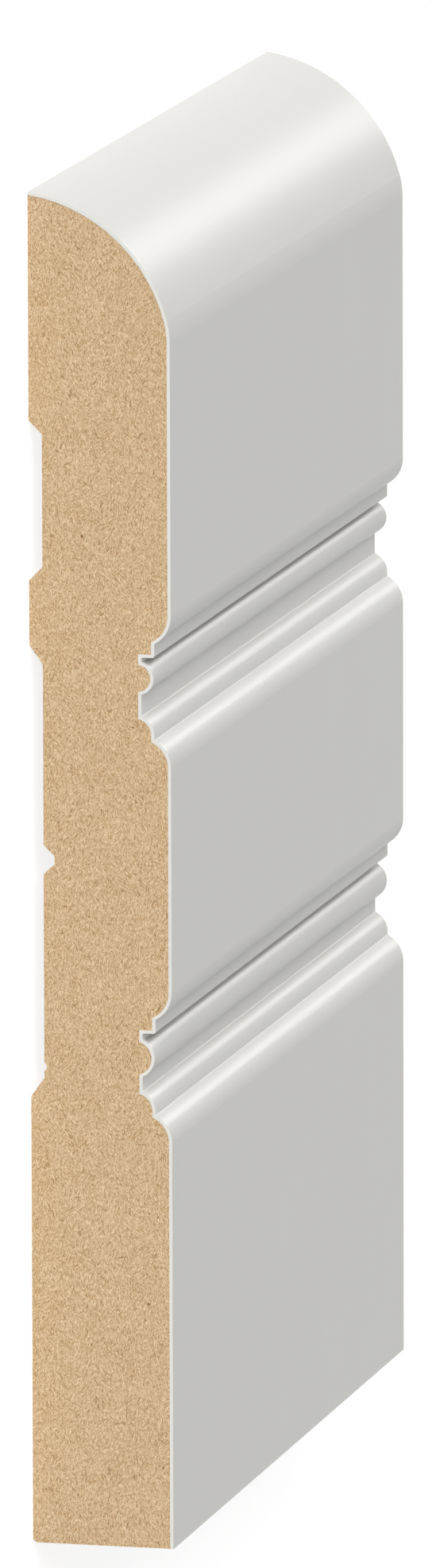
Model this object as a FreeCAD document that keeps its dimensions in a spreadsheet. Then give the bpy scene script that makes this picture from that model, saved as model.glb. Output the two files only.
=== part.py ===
import FreeCAD, Part

# A sample length of moulded skirting board, in millimetres: an MDF board and the white coat on its front.
# It lies on its back, as a board is stored. X runs from the bottom edge of the board (-X) to its rounded
# top edge (+X), Y runs along the length, and Z runs from the back (z = 0) to the moulded front.

import math
import os

import Sketcher
from FreeCAD import Vector

# The driving sizes. "Front", "back", "top" and "bottom" are those of a board fixed to a wall. A "drop" is
# measured down the face from the top edge: a lower board of the same pattern has a lower plain face.
SIZES = {
    # The board as sold
    "board_length": 126.0,
    "board_height": 170.0,
    "board_thickness": 18.0,
    "coat_thickness": 0.4,
    "coat_rounding": 0.25,
    "bottom_arris": 0.4,
    # The rounded top edge: a round, and a smaller one that eases it into the face
    "top_radius": 21.2,
    "top_easing_radius": 10.4,
    "top_easing_angle": 15.0,
    # What the two moulded bands share
    "step_depth": 2.1,
    "step_width": 1.75,
    "quirk_depth": 3.75,
    "bead_rise": 1.55,
    "fillet_width": 0.5,
    "nose_radius": 3.8,
    "ovolo_radius": 2.6,
    "shoulder_radius": 3.8,
    # The upper band
    "upper_band_drop": 52.5,
    "upper_bead_gap": 0.6,
    "upper_bead_radius": 2.1,
    "upper_quirk_width": 2.75,
    # The lower band
    "lower_band_drop": 99.7,
    "lower_bead_gap": 0.85,
    "lower_bead_radius": 2.5,
    "lower_quirk_width": 1.9,
    # The back, from the top down: a land, the narrow channel, a land, the wide channel, and the bottom land
    "top_land_width": 28.5,
    "narrow_channel_width": 20.0,
    "narrow_channel_flank": 1.7,
    "middle_land_width": 8.1,
    "wide_channel_width": 56.8,
    "wide_channel_flank": 2.4,
    "channel_depth": 1.7,
    # The groove in the floor of the wide channel, measured from the channel's top
    "groove_drop": 25.05,
    "groove_width": 3.7,
    "groove_flank": 1.35,
    "groove_depth": 1.4,
    # The scratch that the cutter left in the same floor, measured from the channel's bottom
    "scratch_rise": 3.25,
    "scratch_width": 1.15,
    "scratch_flank": 0.4,
    "scratch_depth": 0.3,
}

# In the section, a height runs up the board from its bottom edge, and a level from its back to its front.
# A sketch's first axis is the height, and its second the level. It numbers its axes and points like this.
ORIGIN, HEIGHT_AXIS, LEVEL_AXIS = -1, -1, -2
START, END, CENTRE = 1, 2, 3

# Two faces turn a corner where their normals differ by more than this, in radians. Two places that are
# closer together than the tolerance are the same.
LEAST_CORNER = math.radians(20)
TOLERANCE = 0.001

# How far behind the back the top edge's round is struck, so that its easing meets the face, and how high,
# so that the round meets the back at the board's height
TOP_SETBACK = ("((sizes.top_radius - sizes.top_easing_radius) * cos(sizes.top_easing_angle)"
               " + sizes.top_easing_radius - sizes.board_thickness)")
TOP_CENTRE = f"(sizes.board_height - sqrt(sizes.top_radius ^ 2 - {TOP_SETBACK} ^ 2))"


def reach(radius, drop):
    """How far from its centre line a round is when it has dropped this far under its crown."""
    return f"sqrt({drop} * (2 * ({radius}) - {drop}))"


class Outline:
    """The closed outline of a section in a sketch, drawn anticlockwise, each edge from the end of the last.

    Each size is a formula on the sheet, which drives a constraint. Its value now places the edge."""

    def __init__(self, sketch, start):
        self.sketch = sketch
        self.at = start
        self.last = None
        self.smooth = False

    def value(self, formula):
        """What a formula on the sheet comes to now."""
        return float(self.sketch.evalExpression(formula))

    def constrain(self, *terms):
        """Adds a constraint and gives its number."""
        return self.sketch.addConstraint(Sketcher.Constraint(*terms))

    def pin(self, kind, references, formula, name):
        """Adds a constraint whose size follows a formula."""
        index = self.constrain(kind, *references, self.value(formula))
        self.sketch.renameConstraint(index, name)
        self.sketch.setExpression("Constraints." + name, formula)

    def pin_height(self, point, formula, name):
        """Holds a point of the last edge at a height."""
        if formula == "0":
            self.constrain("PointOnObject", self.last, point, LEVEL_AXIS)
        else:
            self.pin("DistanceX", (ORIGIN, START, self.last, point), formula, name + "_height")

    def pin_level(self, point, formula, name):
        """Holds a point of the last edge at a level."""
        if formula == "0":
            self.constrain("PointOnObject", self.last, point, HEIGHT_AXIS)
        else:
            self.pin("DistanceY", (ORIGIN, START, self.last, point), formula, name + "_level")

    def add(self, edge):
        """Adds an edge and joins it to the last one, smoothly where that one asked for it."""
        index = self.sketch.addGeometry(edge, False)
        if self.last is not None:
            self.constrain("Tangent" if self.smooth else "Coincident", self.last, END, index, START)
        self.last = index
        self.at = edge.EndPoint
        self.smooth = False

    def line_to(self, height, level):
        """A straight edge on to a point."""
        self.add(Part.LineSegment(self.at, Vector(height, level, 0)))

    def round_to(self, end_angle, centre_height, centre_level, radius, name):
        """A round edge about a centre, on to an angle."""
        start_angle = math.atan2(self.at.y - centre_level, self.at.x - centre_height)
        circle = Part.Circle(Vector(centre_height, centre_level, 0), Vector(0, 0, 1), self.value(radius))
        self.add(Part.ArcOfCircle(circle, start_angle, end_angle))
        self.pin("Radius", (self.last,), radius, name + "_radius")

    def flat_to(self, height, level, name):
        """A flat stretch of the front at a level, on to a height, which the next edge settles."""
        self.line_to(height, self.value(level))
        self.constrain("Horizontal", self.last)
        self.pin_level(START, level, name)

    def flat_and_round(self, level, centre, crown, radius, end_level, name):
        """A flat stretch down the board at a level, and then a round that ends at another level.

        centre is the height of the round's centre, and crown the level of its highest line. A round that
        starts or ends at its crown meets the flat there smoothly."""
        start_reach = reach(radius, f"({crown} - ({level}))")
        self.flat_to(self.value(f"{centre} + {start_reach}"), level, name + "_flat")
        self.smooth = level == crown
        centre_level = f"{crown} - ({radius})"
        end_reach = self.value(reach(radius, f"({crown} - ({end_level}))"))
        end_angle = math.atan2(self.value(end_level) - self.value(centre_level), -end_reach)
        self.round_to(end_angle, self.value(centre), self.value(centre_level), radius, name)
        self.pin_height(CENTRE, centre, name)
        if crown not in (level, end_level):
            self.pin_level(CENTRE, centre_level, name)
        self.smooth = end_level == crown


def hollow(name, bottom, top, flank, surface, floor):
    """The four corners of a hollow in the back with sloping flanks. Each is a name, a height and a level."""
    return [
        (name + "_start", bottom, surface),
        (name + "_floor_start", f"{bottom} + {flank}", floor),
        (name + "_floor_end", f"{top} - {flank}", floor),
        (name + "_end", top, surface),
    ]


def draw_back(outline, skin):
    """The back, from the bottom edge to the top: three lands that lie on the wall, and two channels between
    them. The wide channel's floor has a groove, and a scratch left by the cutter."""
    floor = "sizes.channel_depth"
    narrow_top = "sizes.board_height - sizes.top_land_width"
    narrow_bottom = f"{narrow_top} - sizes.narrow_channel_width"
    wide_top = f"{narrow_bottom} - sizes.middle_land_width"
    wide_bottom = f"{wide_top} - sizes.wide_channel_width"
    groove_top = f"{wide_top} - sizes.groove_drop"
    groove_bottom = f"{groove_top} - sizes.groove_width"
    scratch_bottom = f"{wide_bottom} + sizes.scratch_rise"
    scratch_top = f"{scratch_bottom} + sizes.scratch_width"
    narrow = hollow("narrow_channel", narrow_bottom, narrow_top, "sizes.narrow_channel_flank", "0", floor)
    wide = hollow("wide_channel", wide_bottom, wide_top, "sizes.wide_channel_flank", "0", floor)
    groove = hollow("groove", groove_bottom, groove_top, "sizes.groove_flank",
                    floor, f"{floor} + sizes.groove_depth")
    scratch = hollow("scratch", scratch_bottom, scratch_top, "sizes.scratch_flank",
                     floor, f"{floor} + sizes.scratch_depth")
    corners = [
        ("arris_front", "0", "sizes.bottom_arris"),
        ("arris_back", "sizes.bottom_arris", "0"),
        *wide[:2],
        *scratch,
        *groove,
        *wide[2:],
        *narrow,
    ]
    top = f"{TOP_CENTRE} + sqrt((sizes.top_radius - {skin}) ^ 2 - {TOP_SETBACK} ^ 2)"
    ends = [(height, level) for _, height, level in corners[1:]] + [(top, "0")]
    for (name, height, level), (end_height, end_level) in zip(corners, ends):
        outline.line_to(outline.value(end_height), outline.value(end_level))
        outline.pin_height(START, height, name)
        outline.pin_level(START, level, name)
    outline.pin_level(END, "0", "top_corner")


def draw_top(outline, skin):
    """The round of the top edge, and its easing into the upper face."""
    radius = f"sizes.top_radius - {skin}"
    easing_radius = f"sizes.top_easing_radius - {skin}"
    height, level = outline.value(TOP_CENTRE), -outline.value(TOP_SETBACK)
    meeting = math.radians(90 - outline.value("sizes.top_easing_angle"))
    outline.round_to(meeting, height, level, radius, "top")
    outline.pin_height(CENTRE, TOP_CENTRE, "top_centre")
    outline.pin_level(CENTRE, f"-{TOP_SETBACK}", "top_centre")
    outline.smooth = True
    apart = outline.value(f"({radius}) - ({easing_radius})")
    height += apart * math.cos(meeting)
    level += apart * math.sin(meeting)
    outline.round_to(math.pi / 2, height, level, easing_radius, "top_easing")
    outline.smooth = True


def draw_band(outline, band, skin):
    """One moulded band of the front, from the face above it down: a nose rounded over to a step, a sunk
    quirk with a bead along it, an ovolo that comes up out of the quirk, and a shoulder up to the next face.

    The rounds of an outline that lies a skin's thickness under the finished surface keep their centres and
    lose the skin from their radius, and its flats move in by it."""
    face = f"sizes.board_thickness - {skin}"
    step = f"{face} - sizes.step_depth"
    quirk = f"{face} - sizes.quirk_depth"
    bead_crown = f"{quirk} + sizes.bead_rise"

    # The heights of the centres and the underside, each from the one before, on the finished surface
    half_bead = reach(f"sizes.{band}_bead_radius", "sizes.bead_rise")
    ovolo_drop = "(sizes.quirk_depth - sizes.step_depth)"
    nose = f"sizes.board_height - sizes.{band}_band_drop"
    underside = f"{nose} - {reach('sizes.nose_radius', 'sizes.step_depth')} - sizes.step_width"
    bead = f"{underside} - sizes.{band}_bead_gap - {half_bead}"
    ovolo_foot = f"{bead} - {half_bead} - sizes.{band}_quirk_width"
    ovolo = f"{ovolo_foot} - {reach('sizes.ovolo_radius', ovolo_drop)}"
    shoulder_foot = f"{ovolo} - sizes.fillet_width"
    shoulder = f"{shoulder_foot} - {reach('sizes.shoulder_radius', 'sizes.step_depth')}"

    outline.flat_and_round(face, nose, face, f"sizes.nose_radius - {skin}", step, band + "_nose")
    outline.flat_to(outline.value(f"{underside} + {skin}"), step, band + "_step")
    outline.line_to(outline.at.x, outline.value(quirk))
    outline.constrain("Vertical", outline.last)
    outline.pin_height(END, f"{underside} + {skin}", band + "_underside")
    outline.flat_and_round(quirk, bead, bead_crown, f"sizes.{band}_bead_radius - {skin}", quirk,
                           band + "_bead")
    outline.flat_and_round(quirk, ovolo, step, f"sizes.ovolo_radius - {skin}", step, band + "_ovolo")
    outline.flat_and_round(step, shoulder, face, f"sizes.shoulder_radius - {skin}", face,
                           band + "_shoulder")


def draw_section(sketch, skin):
    """The whole section of the board, in a plane across its length, with its front a skin's thickness under
    the finished surface."""
    heel = float(sketch.evalExpression("sizes.bottom_arris"))
    outline = Outline(sketch, Vector(0, heel, 0))
    draw_back(outline, skin)
    draw_top(outline, skin)
    draw_band(outline, "upper", skin)
    draw_band(outline, "lower", skin)
    outline.flat_to(0, f"sizes.board_thickness - {skin}", "lowest_face")
    outline.pin_height(END, "0", "front_corner")
    outline.line_to(0, heel)
    outline.constrain("Coincident", outline.last, END, 0, START)


def make_board(document, name, skin):
    """A length of board whose front lies a skin's thickness under the finished surface."""
    body = document.addObject("PartDesign::Body", name)
    body.Label = name
    across = next(plane for plane in body.Origin.OriginFeatures if plane.Role == "XZ_Plane")
    sketch = body.newObject("Sketcher::SketchObject", name + "_section")
    sketch.AttachmentSupport = [(across, "")]
    sketch.MapMode = "FlatFace"
    draw_section(sketch, skin)
    length = body.newObject("PartDesign::Pad", name + "_length")
    length.Profile = sketch
    length.SideType = "Symmetric"
    length.setExpression("Length", "sizes.board_length")
    body.setExpression("Placement.Base.x", "-sizes.board_height / 2")
    return body


def turns_corner(solid, edge):
    """Whether the two faces of a solid that meet at an edge turn a corner there."""
    middle = edge.valueAt((edge.FirstParameter + edge.LastParameter) / 2)
    first, second = solid.ancestorsOfType(edge, Part.Face)
    first_normal = first.normalAt(*first.Surface.parameter(middle))
    second_normal = second.normalAt(*second.Surface.parameter(middle))
    return first_normal.getAngle(second_normal) > LEAST_CORNER


def round_bands(sheet, body):
    """Rounds the corners that run along the moulded bands: the coat is thinner on an arris and thicker in a
    corner. The front's lowest corner, where the coat is cut off, stays sharp."""
    board = body.Tip
    deepest = sheet.board_thickness - sheet.quirk_depth
    corners = []
    for number, edge in enumerate(board.Shape.Edges, start=1):
        box = edge.BoundBox
        lengthwise = box.YLength > sheet.board_length / 2
        in_a_band = box.ZMin > deepest - TOLERANCE and box.XMin > TOLERANCE
        if lengthwise and in_a_band and turns_corner(board.Shape, edge):
            corners.append(f"Edge{number}")
    rounding = body.newObject("PartDesign::Fillet", body.Name + "_rounding")
    rounding.Base = (board, corners)
    rounding.setExpression("Radius", "sizes.coat_rounding")


document = FreeCAD.newDocument("skirting_board")
sheet = document.addObject("Spreadsheet::Sheet", "sizes")
for row, (alias, size) in enumerate(SIZES.items(), start=1):
    sheet.set(f"A{row}", alias)
    sheet.set(f"B{row}", str(size))
    sheet.setAlias(f"B{row}", alias)
document.recompute()

# The finished form is the board with its coat on. The coat is what that form has beyond the bare board.
finished_form = make_board(document, "finished_form", "0")
mdf_board = make_board(document, "mdf_board", "sizes.coat_thickness")
document.recompute()
round_bands(sheet, finished_form)
document.recompute()
white_coat = document.addObject("Part::Cut", "white_coat")
white_coat.Label = "white_coat"
white_coat.Base = finished_form
white_coat.Tool = mdf_board
document.recompute()

for item in document.Objects:
    if "Invalid" in item.State or "Error" in item.State:
        raise RuntimeError(f"{item.Name} failed: {item.State}")
for item in document.Objects:
    if item.TypeId == "Sketcher::SketchObject" and not item.FullyConstrained:
        raise RuntimeError(f"{item.Name} is not fully constrained")
parts = [mdf_board, white_coat]
for part in parts:
    if part.Shape.isNull() or not part.Shape.isValid() or len(part.Shape.Solids) != 1:
        raise RuntimeError(f"{part.Label} is not one valid solid")

os.makedirs("parts", exist_ok=True)
for part in parts:
    part.Shape.exportStep(f"parts/{part.Label}.step")
    box = part.Shape.BoundBox
    print(part.Label, "volume", round(part.Shape.Volume), "box", box)
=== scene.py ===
# A short length of moulded skirting board lying on its back: raw MDF with a satin white coat on its front.
# The board's height runs along X up to its rounded top edge, its length along Y, and Z rises from its back
# to its moulded front. The photograph looks at the end that faces +Y, with the board's height upright.
import math

import bmesh
import bpy
import numpy as np
from bpy.props import FloatProperty, FloatVectorProperty, IntProperty, PointerProperty
from bpy.types import Operator, Panel, PropertyGroup
from mathutils import Matrix, Vector


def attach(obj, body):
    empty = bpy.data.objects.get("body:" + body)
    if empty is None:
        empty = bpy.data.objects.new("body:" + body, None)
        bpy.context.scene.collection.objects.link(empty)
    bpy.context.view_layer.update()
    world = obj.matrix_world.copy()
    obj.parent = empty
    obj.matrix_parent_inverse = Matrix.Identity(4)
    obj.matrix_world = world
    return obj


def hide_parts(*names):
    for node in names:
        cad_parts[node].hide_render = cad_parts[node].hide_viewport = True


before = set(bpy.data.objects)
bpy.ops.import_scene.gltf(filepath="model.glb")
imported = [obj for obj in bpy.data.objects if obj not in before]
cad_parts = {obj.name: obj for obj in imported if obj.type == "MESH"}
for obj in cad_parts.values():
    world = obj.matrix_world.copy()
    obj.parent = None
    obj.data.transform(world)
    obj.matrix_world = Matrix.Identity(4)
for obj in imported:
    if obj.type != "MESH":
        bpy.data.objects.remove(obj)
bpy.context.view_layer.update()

bl_info = {
    "name": "Skirting board finishes",
    "version": (1, 0, 0),
    "blender": (4, 5, 0),
    "location": "3D View > Sidebar > Skirting",
    "description": "Finishes of a length of skirting board: raw fibreboard, torn strands and a satin coat",
    "category": "Material",
}

MM = 0.001
BODY = "root"
BOARD, COAT = "mdf_board", "white_coat"
WHITE = (1.0, 1.0, 1.0, 1.0)

# The share of a normal along an axis past which a flat side counts as facing along it
FACING = 0.9


class Number:
    """A number that varies over a surface. Python's arithmetic on it adds Math nodes to its material."""

    def __init__(self, shader, socket):
        self.shader = shader
        self.socket = socket

    def math(self, operation, *others):
        """The outcome of a Math node whose first value is this number."""
        node = self.shader.node("ShaderNodeMath", {"operation": operation}, dict(enumerate((self, *others))))
        return Number(self.shader, node.outputs[0])

    def swapped(self, operation, first):
        """The outcome of a Math node whose second value is this number."""
        node = self.shader.node("ShaderNodeMath", {"operation": operation}, {0: first, 1: self})
        return Number(self.shader, node.outputs[0])

    def __add__(self, other):
        return self.math("ADD", other)

    def __sub__(self, other):
        return self.math("SUBTRACT", other)

    def __mul__(self, other):
        return self.math("MULTIPLY", other)

    def __truediv__(self, other):
        return self.math("DIVIDE", other)

    def __gt__(self, other):
        return self.math("GREATER_THAN", other)

    def __abs__(self):
        return self.math("ABSOLUTE")

    def __rsub__(self, other):
        return self.swapped("SUBTRACT", other)

    def __rtruediv__(self, other):
        return self.swapped("DIVIDE", other)

    __radd__ = __add__
    __rmul__ = __mul__

    def fade(self, start, end):
        """A smooth step: 0 where this number is at start, 1 where it is at end. start may be the larger."""
        node = self.shader.node("ShaderNodeMapRange", {"interpolation_type": "SMOOTHSTEP"},
                                {"Value": self, "From Min": start, "From Max": end})
        return Number(self.shader, node.outputs["Result"])


class Shader:
    """A material or a world, and its nodes, which all come from node()."""

    def __init__(self, owner):
        self.owner = owner
        owner.use_nodes = True
        self.tree = owner.node_tree
        self.tree.nodes.clear()

    def node(self, kind, settings=None, inputs=None):
        """Adds a node of a type, sets its settings, and then gives its sockets their values or links."""
        node = self.tree.nodes.new(kind)
        for name, setting in (settings or {}).items():
            setattr(node, name, setting)
        for name, value in (inputs or {}).items():
            socket = node.inputs[name]
            source = getattr(value, "socket", value)
            if isinstance(source, bpy.types.NodeSocket):
                self.tree.links.new(source, socket)
            else:
                socket.default_value = source
        return node

    def place(self):
        """The place on the piece, in millimetres."""
        place = self.node("ShaderNodeTexCoord").outputs["Object"]
        return self.vector("SCALE", place, Scale=1 / MM)

    def vector(self, operation, first, second=None, **more):
        """The outcome of a Vector Math node."""
        inputs = {0: first, **more}
        if second is not None:
            inputs[1] = second
        return self.node("ShaderNodeVectorMath", {"operation": operation}, inputs).outputs[0]

    def split(self, vector):
        """The three numbers of a vector."""
        node = self.node("ShaderNodeSeparateXYZ", inputs={0: vector})
        return [Number(self, socket) for socket in node.outputs]

    def join(self, x, y, z=0.0):
        """A vector of three numbers."""
        return self.node("ShaderNodeCombineXYZ", inputs={0: x, 1: y, 2: z}).outputs[0]

    def noise(self, vector, scale, detail=2.0, roughness=0.5):
        """Smooth noise from 0 to 1, with this many bumps to a millimetre."""
        node = self.node("ShaderNodeTexNoise", {"noise_dimensions": "3D"},
                         {"Vector": vector, "Scale": scale, "Detail": detail, "Roughness": roughness})
        return Number(self, node.outputs["Fac"])

    def blend(self, share, first, second):
        """Two colours blended by a share from 0 to 1."""
        first, second = (colour if isinstance(colour, bpy.types.NodeSocket) else (*colour, 1.0)
                         for colour in (first, second))
        node = self.node("ShaderNodeMix", {"data_type": "RGBA"}, {0: share, 6: first, 7: second})
        return node.outputs[2]

    def backdrop(self):
        """1 where the camera sees this, straight, in a reflection or through glass, and 0 elsewhere."""
        path = self.node("ShaderNodeLightPath").outputs
        camera, reflection, glass = (Number(self, path["Is " + kind + " Ray"])
                                     for kind in ("Camera", "Glossy", "Transmission"))
        return camera.math("MAXIMUM", reflection).math("MAXIMUM", glass)

    def finish(self, surface, output="ShaderNodeOutputMaterial"):
        """Ends the material or the world in a surface shader."""
        self.node(output, inputs={"Surface": surface})
        return self.owner


def face_place(shader, place):
    """The place on a flat side of the board as two lengths in the side's own plane, in millimetres.

    A side that faces along the length keeps height and level, one that faces along the height keeps length
    and level, and every other one keeps height and length."""
    x, y, z = shader.split(place)
    normal = shader.node("ShaderNodeTexCoord").outputs["Normal"]
    nx, ny, _ = shader.split(normal)
    is_end = abs(ny) > FACING
    is_edge = abs(nx) > FACING
    across = y * is_edge + x * (1 - is_edge)
    up = z * is_edge + y * (1 - is_edge)
    return shader.join(x * is_end + across * (1 - is_end), z * is_end + up * (1 - is_end))


# The fibreboard's tufts: how far apart they lie, and their strands' width and length, in millimetres
TUFTS = ((1.8, 0.12, 0.75), (1.1, 0.08, 0.42))
TUFT_CONTRAST = 3.0
# How far the tufts' strands lean to either side of the board's height
TUFT_LEAN = math.radians(55)
# How far the strands of one tuft are moved in the noise from those of the next, along them and across them
TUFT_SLIDE, TUFT_SHIFT = 70, 90
# The fibreboard's other noises: how many bumps each has to a millimetre, and its contrast
SPECKLES = (5.5, 2.0)
PATCHES = (0.3, 0.45)
# Its dark specks: how many bumps their noise has to a millimetre, and where a speck starts and is full
SPECKS, SPECK_START, SPECK_FULL = 1.1, 0.83, 0.9
GRAIN_DEPTH = 0.03 * MM


def tufts(shader, face, spacing, width, length):
    """Tufts of strands that lie side by side, as noise from 0 to 1.

    Each cell of a Voronoi pattern is a tuft. Its strands are smooth noise drawn out along a direction of the
    tuft's own, which leans from the board's height by the cell's first random number."""
    cell = shader.node("ShaderNodeTexVoronoi", {"voronoi_dimensions": "2D", "feature": "F1"},
                       {"Vector": face, "Scale": 1 / spacing, "Randomness": 1.0})
    x, y, _ = shader.split(shader.vector("SUBTRACT", face, cell.outputs["Position"]))
    turn_share, slide, shift = shader.split(cell.outputs["Color"])
    turn = (turn_share - 0.5) * (2 * TUFT_LEAN)
    cosine = turn.math("COSINE")
    sine = turn.math("SINE")
    along = (x * cosine + y * sine) / length + slide * TUFT_SLIDE
    aside = (y * cosine - x * sine) / width + shift * TUFT_SHIFT
    noise = shader.node("ShaderNodeTexNoise", {"noise_dimensions": "2D"},
                        {"Vector": shader.join(along, aside), "Scale": 1.0, "Detail": 1.0, "Roughness": 0.5})
    return Number(shader, noise.outputs["Fac"])


def fibreboard(settings):
    """Raw fibreboard: tufts of strands of two sizes over a speckled ground, and a few dark specks.

    Each noise, less its middle and times its contrast, adds to the tone. The tone runs from the shade's
    colour at -1, through the ground's at 0, to the strands' at 1."""
    shader = Shader(bpy.data.materials.new("raw_fibreboard"))
    place = shader.place()
    face = face_place(shader, place)
    strands = sum((tufts(shader, face, *sizes) - 0.5) * TUFT_CONTRAST for sizes in TUFTS)
    ground = sum((shader.noise(place, scale, 1.0) - 0.5) * contrast
                 for scale, contrast in (SPECKLES, PATCHES))
    tone = strands + ground
    speck = shader.noise(face, SPECKS, 0.0).fade(SPECK_START, SPECK_FULL)
    colour = shader.blend(tone.fade(-1.0, 0.0), settings.shade_colour, settings.ground_colour)
    colour = shader.blend(tone.fade(0.0, 1.0), colour, settings.strand_colour)
    colour = shader.blend(speck, colour, settings.fleck_colour)
    bump = shader.node("ShaderNodeBump", inputs={"Height": tone, "Strength": 0.4, "Distance": GRAIN_DEPTH})
    surface = shader.node("ShaderNodeBsdfPrincipled",
                          inputs={"Base Color": colour, "Roughness": 0.95, "Normal": bump.outputs[0],
                                  "Specular IOR Level": 0.3})
    return shader.finish(surface.outputs[0])


# How much a torn strand's tone varies over it, and how many bumps that has to a millimetre
MOTTLE, MOTTLES = 0.4, 5.0


def torn_strands(settings):
    """Torn strands, a little mottled. A strand's own tone runs from the dark flecks' colour through the
    ground's to the pale strands'."""
    shader = Shader(bpy.data.materials.new("torn_strands"))
    tone = Number(shader, shader.node("ShaderNodeAttribute", {"attribute_name": "tone"}).outputs["Fac"])
    tone = tone + (shader.noise(shader.place(), MOTTLES, 1.0) - 0.5) * MOTTLE
    colour = shader.blend(tone.fade(0.0, 0.5), settings.fleck_colour, settings.ground_colour)
    colour = shader.blend(tone.fade(0.5, 1.0), colour, settings.strand_colour)
    surface = shader.node("ShaderNodeBsdfPrincipled",
                          inputs={"Base Color": colour, "Roughness": 0.9, "Specular IOR Level": 0.3})
    return shader.finish(surface.outputs[0])


# How many bumps to a millimetre the coat's noises have: the cutter's lines, the sprayed film and wide clouds
LINES, FILM, CLOUDS = 1.6, 0.9, 0.05
# How short the lines' noise is along the board for its width, which draws them out
DRAWN = 0.01
# The outward share of a normal at which the lines start to show, and at which they are full
ROUND_STARTS, ROUND_FULL = 0.997, 0.95
# How much the lines, the film and the clouds vary the coat's colour, and the film and lines its roughness
LINE_SHADE, FILM_SHADE, CLOUD_SHADE = 0.03, 0.015, 0.03
FILM_ROUGHNESS, LINE_ROUGHNESS = 0.05, 0.06
# The film's height, as a share of the lines'
FILM_HEIGHT = 0.1


def satin_coat(settings):
    """A satin white coat: hardly any colour of its own, and the fine unevenness of a sprayed film.

    On the rounds the cutter's faint lines along the length show through it. The flat faces are sanded. Its
    cut edge, which faces along the length, is painted paler: painted light, where that edge catches the
    light."""
    shader = Shader(bpy.data.materials.new("satin_white_coat"))
    place = shader.place()
    _, along, outward = shader.split(shader.node("ShaderNodeTexCoord").outputs["Normal"])
    cut = abs(along) > FACING
    drawn = shader.vector("MULTIPLY", place, (1.0, DRAWN, 1.0))
    lines = (shader.noise(drawn, LINES, 3.0, 0.6) - 0.5) * outward.fade(ROUND_STARTS, ROUND_FULL)
    film = shader.noise(place, FILM, 2.0) - 0.5
    cloud = shader.noise(place, CLOUDS, 1.0) - 0.5
    # The cut edge's share adds painted light: that edge is painted paler where it catches the light
    shade = lines * LINE_SHADE + film * FILM_SHADE + cloud * CLOUD_SHADE + cut * settings.cut_painted_light + 1.0
    colour = shader.vector("SCALE", tuple(settings.coat_colour), Scale=shade)
    roughness = settings.coat_roughness + film * FILM_ROUGHNESS + lines * LINE_ROUGHNESS
    bump = shader.node("ShaderNodeBump", inputs={"Height": lines + film * FILM_HEIGHT, "Strength": 1.0,
                                                 "Distance": settings.line_depth})
    surface = shader.node("ShaderNodeBsdfPrincipled",
                          inputs={"Base Color": colour, "Roughness": roughness, "Normal": bump.outputs[0]})
    return shader.finish(surface.outputs[0])


def pale_floor(settings):
    """A pale floor. Where it is seen, it is less lit and shaded and glows instead, so that it is white and
    keeps soft shadows."""
    shader = Shader(bpy.data.materials.new("pale_floor"))
    matt = shader.node("ShaderNodeBsdfDiffuse", inputs={"Color": (*settings.floor_colour, 1.0)})
    glow = shader.node("ShaderNodeEmission", inputs={"Color": WHITE, "Strength": settings.floor_glow})
    shaded = shader.node("ShaderNodeBsdfDiffuse", inputs={"Color": (*settings.floor_shade, 1.0)})
    lit = shader.node("ShaderNodeAddShader", inputs={0: shaded.outputs[0], 1: glow.outputs[0]})
    surface = shader.node("ShaderNodeMixShader",
                          inputs={0: shader.backdrop(), 1: matt.outputs[0], 2: lit.outputs[0]})
    return shader.finish(surface.outputs[0])


# The sawn sides, by what their strands are called: the axis that most strands follow, the other axis in the
# side's plane, the axis that the side faces along, and 1 or -1 for which way it faces
SAWN_SIDES = {
    "near_end_strands": (0, 2, 1, 1.0),
    "far_end_strands": (0, 2, 1, -1.0),
    "bottom_edge_strands": (1, 2, 0, -1.0),
}

# How close to a mesh's outermost plane a triangle of a sawn side lies
PLANE_SLACK = 0.001 * MM
# How close two points of the board's mesh are that are one
MERGE_DISTANCE = 0.0001 * MM
# The turn between two faces past which the edge between them is sharp
SHARP_TURN = math.radians(30)

# How far strands' sizes spread: the sigma of their lengths' and widths' logarithms, and of their bows
LENGTH_SPREAD, WIDTH_SPREAD, BOW_SPREAD = 0.4, 0.25, 0.08
# A ridge's lowest and highest height and a foot's depth, as shares of how deep the side is sawn
RIDGE_SHARES, FOOT_SHARE = (0.6, 1.1), 1.2
# The shape of the beta distribution of the strands' tones
TONE_SHAPE = (1.3, 1.1)

# A strand is a three-sided tube with two rings between its tips. For each of its points: the place along it
# from -1 to 1, the place across it, and whether it is on the ridge
STRAND_ALONG = np.array((-1, -1 / 3, -1 / 3, -1 / 3, 1 / 3, 1 / 3, 1 / 3, 1))
STRAND_ACROSS = np.array((0, -1, 0, 1, -1, 0, 1, 0))
STRAND_RIDGE = np.array((0, 0, 1, 0, 0, 1, 0, 0))
STRAND_FACES = np.array([face for a, b in ((1, 2), (2, 3), (3, 1))
                         for face in ((0, b, a), (a, b, b + 3), (a, b + 3, a + 3), (a + 3, b + 3, 7))])


def mesh_points(mesh):
    """A mesh's points as an array of rows of three numbers."""
    points = np.empty(len(mesh.vertices) * 3, np.float32)
    mesh.vertices.foreach_get("co", points)
    return points.reshape(-1, 3)


def side_triangles(mesh, axis, sign):
    """A mesh's triangles in its outermost plane along an axis: an array by triangle, corner and axis."""
    mesh.calc_loop_triangles()
    corners = np.empty(len(mesh.loop_triangles) * 3, np.int32)
    mesh.loop_triangles.foreach_get("vertices", corners)
    triangles = mesh_points(mesh)[corners.reshape(-1, 3)]
    level = triangles[:, :, axis] * sign
    return triangles[(level > level.max() - PLANE_SLACK).all(axis=1)]


def areas(triangles):
    """The areas of flat triangles: half the cross product of two of each one's sides."""
    side, other = triangles[:, 1] - triangles[:, 0], triangles[:, 2] - triangles[:, 0]
    return np.abs(side[:, 0] * other[:, 1] - side[:, 1] * other[:, 0]) / 2


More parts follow.
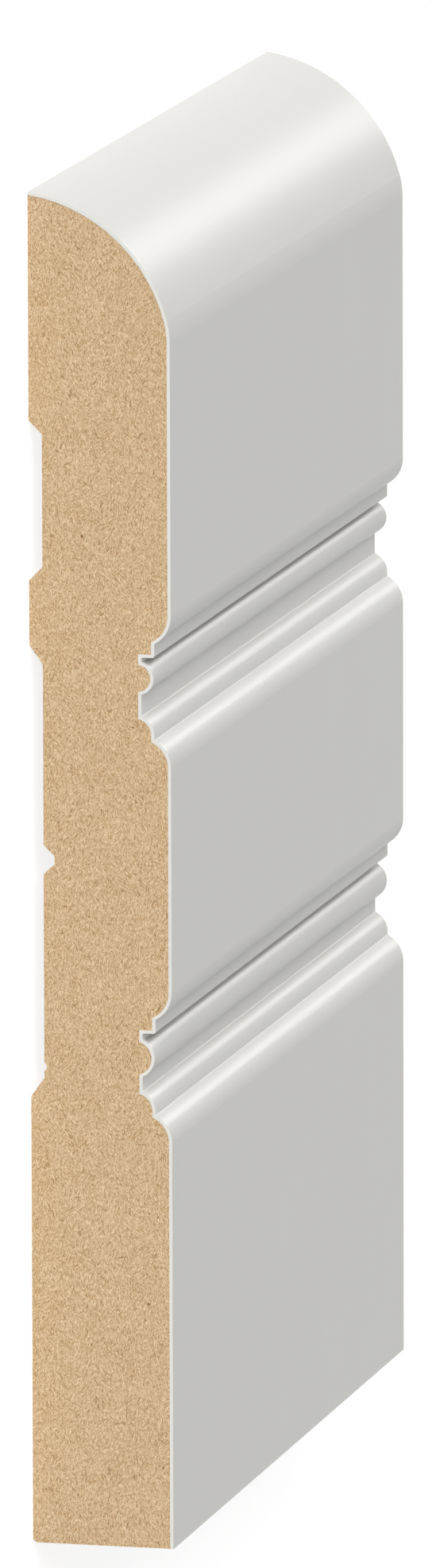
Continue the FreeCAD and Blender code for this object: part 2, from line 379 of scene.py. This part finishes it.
def strewn_places(triangles, count, draw):
    """Places strewn evenly over flat triangles, as an array of places and two numbers.

    Each place is in a triangle drawn by its area, at its first corner plus two random shares of its sides.
    Where the shares add up to more than one, each is taken from one."""
    sizes = areas(triangles)
    chosen = draw.choice(len(triangles), count, p=sizes / sizes.sum())
    first, second, third = triangles[chosen].swapaxes(0, 1)
    shares = draw.random((count, 2, 1))
    shares = np.where(shares.sum(axis=1, keepdims=True) > 1, 1 - shares, shares)
    return first + shares[:, 0] * (second - first) + shares[:, 1] * (third - first)


def within(points, triangles):
    """Which points lie in one of the flat triangles: on the same side of all three of its sides."""
    found = np.zeros(points.shape[:-1], bool)
    for corners in triangles:
        sides = np.roll(corners, -1, axis=0) - corners
        offsets = points[..., None, :] - corners
        turns = sides[:, 0] * offsets[..., 1] - sides[:, 1] * offsets[..., 0]
        found |= (turns >= 0).all(axis=-1) | (turns <= 0).all(axis=-1)
    return found


def strand_points(places, settings, draw):
    """The points of strands at these places: an array by strand, point and number. The first two numbers lie
    in the side's plane, and the third points out of it.

    A strand's middle line bows aside by a share of its half length times one less the square of the place
    along it. Its width and its ridge shrink by the root of the same, so it ends in points, and its feet lie
    in the board."""
    count = len(places)
    turn = draw.normal(0.0, settings.strand_lean, count)[:, None]
    half = settings.strand_length / 2 * draw.lognormal(0.0, LENGTH_SPREAD, count)[:, None]
    width = settings.strand_width / 2 * draw.lognormal(0.0, WIDTH_SPREAD, count)[:, None]
    ridge = settings.sawn_depth * draw.uniform(*RIDGE_SHARES, count)[:, None]
    bow = draw.normal(0.0, BOW_SPREAD, count)[:, None]
    room = 1 - STRAND_ALONG ** 2
    along = half * STRAND_ALONG
    across = width * STRAND_ACROSS * np.sqrt(room) + bow * half * room
    out = ridge * STRAND_RIDGE * np.sqrt(room) - FOOT_SHARE * settings.sawn_depth
    first = places[:, :1] + along * np.cos(turn) - across * np.sin(turn)
    second = places[:, 1:] + along * np.sin(turn) + across * np.cos(turn)
    return np.stack((first, second, out), axis=-1)


def strand_mesh(name, board, side, settings, draw):
    """The strands of one sawn side as one mesh, without those that reach over the side's outline."""
    first, second, own, sign = side
    triangles = side_triangles(board, own, sign)
    level = triangles[0, 0, own]
    flat = triangles[:, :, (first, second)]
    count = int(areas(flat).sum() / MM ** 2 * settings.strand_density)
    strands = strand_points(strewn_places(flat, count, draw), settings, draw)
    strands = strands[within(strands[:, :, :2], flat).all(axis=1)]
    points = np.empty_like(strands)
    points[..., first] = strands[..., 0]
    points[..., second] = strands[..., 1]
    points[..., own] = level + sign * strands[..., 2]
    to_a_strand = len(STRAND_ALONG)
    faces = STRAND_FACES + to_a_strand * np.arange(len(strands))[:, None, None]
    axes = np.zeros((3, 3))
    axes[(0, 1, 2), (first, second, own)] = (1, 1, sign)
    if np.linalg.det(axes) > 0:
        faces = faces[:, :, ::-1]
    mesh = bpy.data.meshes.new(name)
    mesh.from_pydata(points.reshape(-1, 3), [], faces.reshape(-1, 3))
    tones = np.repeat(draw.beta(*TONE_SHAPE, len(strands)), to_a_strand).astype(np.float32)
    mesh.attributes.new("tone", "FLOAT", "POINT").data.foreach_set("value", tones)
    return mesh


def sunk_board(settings):
    """A merged copy of the board's mesh, with its sawn sides a hair lower than the coat's cut edge.

    Each point on an end or on the bottom edge moves inwards by the depth, and no other point moves."""
    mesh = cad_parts[BOARD].data.copy()
    mesh.name = "sawn_board"
    merged = bmesh.new()
    merged.from_mesh(mesh)
    bmesh.ops.remove_doubles(merged, verts=merged.verts, dist=MERGE_DISTANCE)
    merged.to_mesh(mesh)
    merged.free()
    for attribute in [item for item in mesh.attributes if "normal" in item.name]:
        mesh.attributes.remove(attribute)
    points = mesh_points(mesh)
    low, high = points.min(axis=0), points.max(axis=0)
    points[:, 0] = np.maximum(points[:, 0], low[0] + settings.sawn_depth)
    points[:, 1] = np.clip(points[:, 1], low[1] + settings.sawn_depth, high[1] - settings.sawn_depth)
    mesh.vertices.foreach_set("co", points.ravel())
    mesh.shade_smooth()
    mesh.set_sharp_from_angle(angle=SHARP_TURN)
    mesh.update()
    return mesh


def add_piece(context, mesh, material):
    """Adds a mesh as a piece of the board, in one material."""
    mesh.materials.clear()
    mesh.materials.append(material)
    piece = bpy.data.objects.new(mesh.name, mesh)
    context.scene.collection.objects.link(piece)
    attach(piece, BODY)
    return piece


class BoardSettings(PropertyGroup):
    """The raw board: how deep its sawn sides are torn, its strands and its colours."""
    sawn_depth: FloatProperty(name="Sawn depth", description="How deep the saw has torn the sawn sides",
                              unit="LENGTH", default=0.05 * MM, precision=6)
    strand_density: FloatProperty(name="Strands to a square millimetre",
                                  description="How many strands a sawn side has for its area", default=3.2)
    strand_length: FloatProperty(name="Strand length", description="The usual length of a strand",
                                 unit="LENGTH", default=0.8 * MM, precision=6)
    strand_width: FloatProperty(name="Strand width", description="The usual width of a strand",
                                unit="LENGTH", default=0.11 * MM, precision=6)
    strand_lean: FloatProperty(name="Strand lean", description="How far most strands lean to either side",
                               subtype="ANGLE", default=math.radians(38))
    seed: IntProperty(name="Seed", description="Which of the random layouts of strands is used", default=7)
    ground_colour: FloatVectorProperty(name="Ground", description="Lighter tone of the fibreboard's ground",
                                       subtype="COLOR", default=(0.725, 0.513, 0.295))
    shade_colour: FloatVectorProperty(name="Shade", description="Darker tone of the fibreboard's ground",
                                      subtype="COLOR", default=(0.507, 0.295, 0.123))
    strand_colour: FloatVectorProperty(name="Strands", description="Colour of the pale strands",
                                       subtype="COLOR", default=(0.898, 0.731, 0.494))
    fleck_colour: FloatVectorProperty(name="Flecks", description="Colour of the dark flecks and hollows",
                                      subtype="COLOR", default=(0.36, 0.19, 0.07))


class CoatSettings(PropertyGroup):
    """The white coat."""
    coat_colour: FloatVectorProperty(name="Coat", description="Colour of the coat", subtype="COLOR",
                                     default=(0.748, 0.739, 0.703))
    coat_roughness: FloatProperty(name="Roughness", description="How widely the coat spreads a reflection",
                                  default=0.30, min=0.0, max=1.0, subtype="FACTOR")
    # Painted light: how much paler the coat's cut edge is painted, for the light it catches
    cut_painted_light: FloatProperty(name="Cut gain", description="How much paler the coat's cut edge is",
                            default=0.17)
    line_depth: FloatProperty(name="Line depth", description="How deep the cutter's lines on the rounds are",
                              unit="LENGTH", default=0.02 * MM, precision=6)


class StageSettings(PropertyGroup):
    """The floor, the lights and the camera."""
    floor_colour: FloatVectorProperty(name="Floor", description="Colour of the floor", subtype="COLOR",
                                      default=(0.8, 0.8, 0.8))
    floor_shade: FloatVectorProperty(name="Floor shade", subtype="COLOR", default=(0.4, 0.4, 0.4),
                                     description="The floor's colour for the camera, where shadows show")
    floor_glow: FloatProperty(name="Floor glow", description="How strongly the camera sees the floor glow",
                              default=0.85)
    room_light: FloatProperty(name="Room light", description="Soft light from all round", default=0.21)
    room_tilt: FloatProperty(name="Room tilt",
                             description="How much stronger the room's light is beyond the top edge",
                             default=0.45, min=0.0, max=1.0)
    key_light: FloatProperty(name="Key light", description="Light from beyond the top edge and the near end",
                             default=3.3)
    rim_light: FloatProperty(name="Rim light", description="Low light from beyond the far end", default=0.18)
    azimuth: FloatProperty(name="Azimuth", description="Where round the board the camera stands; 0 is at -Y",
                           subtype="ANGLE", default=math.radians(169.60))
    elevation: FloatProperty(name="Elevation", description="How high over the floor the camera stands",
                             subtype="ANGLE", default=math.radians(13.48))
    roll: FloatProperty(name="Roll", description="Turn that sets the board's height upright in the picture",
                        subtype="ANGLE", default=math.radians(92.30))
    distance: FloatProperty(name="Distance", description="From the camera to the board's middle",
                            unit="LENGTH", default=2.5945)
    aside: FloatProperty(name="Aside", description="How far the camera is moved to the picture's right",
                         unit="LENGTH", default=0.00813)
    lens: FloatProperty(name="Lens", description="Focal length in millimetres, for a sensor 36 mm high",
                        default=470.0)


class SKIRTING_OT_board(Operator):
    """Puts the raw board in the solid's place, with its sawn sides and its fibreboard finish"""
    bl_idname = "skirting.board"
    bl_label = "Raw board"

    def execute(self, context):
        settings = context.scene.skirting_board
        board = add_piece(context, sunk_board(settings), fibreboard(settings))
        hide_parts(BOARD)
        return {"FINISHED"}


class SKIRTING_OT_strands(Operator):
    """Strews torn strands over the two sawn ends and the sawn bottom edge"""
    bl_idname = "skirting.strands"
    bl_label = "Torn strands"

    def execute(self, context):
        settings = context.scene.skirting_board
        draw = np.random.default_rng(settings.seed)
        material = torn_strands(settings)
        for name, side in SAWN_SIDES.items():
            mesh = strand_mesh(name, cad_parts[BOARD].data, side, settings, draw)
            add_piece(context, mesh, material)
        return {"FINISHED"}


class SKIRTING_OT_coat(Operator):
    """Gives the coat its satin white finish"""
    bl_idname = "skirting.coat"
    bl_label = "White coat"

    def execute(self, context):
        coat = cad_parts[COAT]
        coat.material_slots[0].material = satin_coat(context.scene.skirting_coat)
        return {"FINISHED"}


def camera_turn(settings):
    """The camera's turn: its right, up and back directions as the columns of a matrix.

    The back direction points from the board to the camera. Unrolled, up is the vertical less its share along
    the back direction. The roll then turns right and up about the back direction."""
    flat = math.cos(settings.elevation)
    back = Vector((math.sin(settings.azimuth) * flat, -math.cos(settings.azimuth) * flat,
                   math.sin(settings.elevation)))
    level_up = (Vector((0, 0, 1)) - back * back.z).normalized()
    level_right = level_up.cross(back)
    right = level_right * math.cos(settings.roll) + level_up * math.sin(settings.roll)
    up = level_up * math.cos(settings.roll) - level_right * math.sin(settings.roll)
    return Matrix((right, up, back)).transposed()


def add_camera(context, settings):
    """The camera, at the photograph's angle to the board."""
    data = bpy.data.cameras.new("camera")
    data.sensor_fit = "AUTO"
    data.lens = settings.lens
    camera = bpy.data.objects.new("camera", data)
    turn = camera_turn(settings)
    place = turn.col[2] * settings.distance + turn.col[0] * settings.aside
    camera.matrix_world = Matrix.Translation(place) @ turn.to_4x4()
    context.scene.collection.objects.link(camera)
    context.scene.camera = camera


# Where the two lights shine from, and how wide they look
KEY_TOWARD, KEY_SPREAD = (0.69, 0.68, 0.25), math.radians(60)
RIM_TOWARD, RIM_SPREAD = (0.31, -0.893, 0.325), math.radians(12)


def add_softbox(context, name, toward, strength, spread):
    """A wide, even light that shines from a direction."""
    data = bpy.data.lights.new(name, "SUN")
    data.energy = strength
    data.angle = spread
    light = bpy.data.objects.new(name, data)
    light.rotation_mode = "QUATERNION"
    light.rotation_quaternion = Vector(toward).to_track_quat("Z", "Y")
    context.scene.collection.objects.link(light)


def light_room(context, settings):
    """Soft light from all round, stronger beyond the board's top edge, which is white where it is seen.

    Its strength is the room light times one plus the tilt times the height's share of the direction."""
    room = Shader(bpy.data.worlds.new("room"))
    toward_top, _, _ = room.split(room.node("ShaderNodeTexCoord").outputs["Generated"])
    seen = room.backdrop()
    light = (toward_top * settings.room_tilt + 1) * settings.room_light
    background = room.node("ShaderNodeBackground",
                           inputs={"Color": WHITE, "Strength": light * (1 - seen) + seen})
    context.scene.world = room.finish(background.outputs[0], "ShaderNodeOutputWorld")


# How far the floor reaches from its middle, in metres
FLOOR_REACH = 30.0


class SKIRTING_OT_stage(Operator):
    """Lays the floor, and sets the lights and the camera"""
    bl_idname = "skirting.stage"
    bl_label = "Floor, lights and camera"

    def execute(self, context):
        settings = context.scene.skirting_stage
        corners = [(FLOOR_REACH * x, FLOOR_REACH * y, 0) for x, y in ((-1, -1), (1, -1), (1, 1), (-1, 1))]
        mesh = bpy.data.meshes.new("floor")
        mesh.from_pydata(corners, [], [(0, 1, 2, 3)])
        mesh.materials.append(pale_floor(settings))
        floor = bpy.data.objects.new("floor", mesh)
        context.scene.collection.objects.link(floor)
        add_camera(context, settings)
        add_softbox(context, "key", KEY_TOWARD, settings.key_light, KEY_SPREAD)
        add_softbox(context, "rim", RIM_TOWARD, settings.rim_light, RIM_SPREAD)
        light_room(context, settings)
        context.scene.view_settings.view_transform = "Standard"
        return {"FINISHED"}


class SKIRTING_PT_panel(Panel):
    """Lists the board's finishes and its stage"""
    bl_label = "Skirting board"
    bl_idname = "SKIRTING_PT_panel"
    bl_space_type = "VIEW_3D"
    bl_region_type = "UI"
    bl_category = "Skirting"

    def draw(self, context):
        for piece in PIECES:
            self.layout.operator(piece.bl_idname)
        for group in SETTINGS:
            settings = getattr(context.scene, group)
            for name in settings.bl_rna.properties.keys():
                if name not in ("rna_type", "name"):
                    self.layout.prop(settings, name)


SETTINGS = {
    "skirting_board": BoardSettings,
    "skirting_coat": CoatSettings,
    "skirting_stage": StageSettings,
}
PIECES = (SKIRTING_OT_board, SKIRTING_OT_strands, SKIRTING_OT_coat, SKIRTING_OT_stage)


def register():
    for cls in (*SETTINGS.values(), *PIECES, SKIRTING_PT_panel):
        bpy.utils.register_class(cls)
    for name, group in SETTINGS.items():
        setattr(bpy.types.Scene, name, PointerProperty(type=group))


def unregister():
    for name in SETTINGS:
        delattr(bpy.types.Scene, name)
    for cls in reversed((*SETTINGS.values(), *PIECES, SKIRTING_PT_panel)):
        bpy.utils.unregister_class(cls)


def main():
    register()
    bpy.ops.skirting.board()
    bpy.ops.skirting.strands()
    bpy.ops.skirting.coat()
    bpy.ops.skirting.stage()


if __name__ == "__main__":
    main()
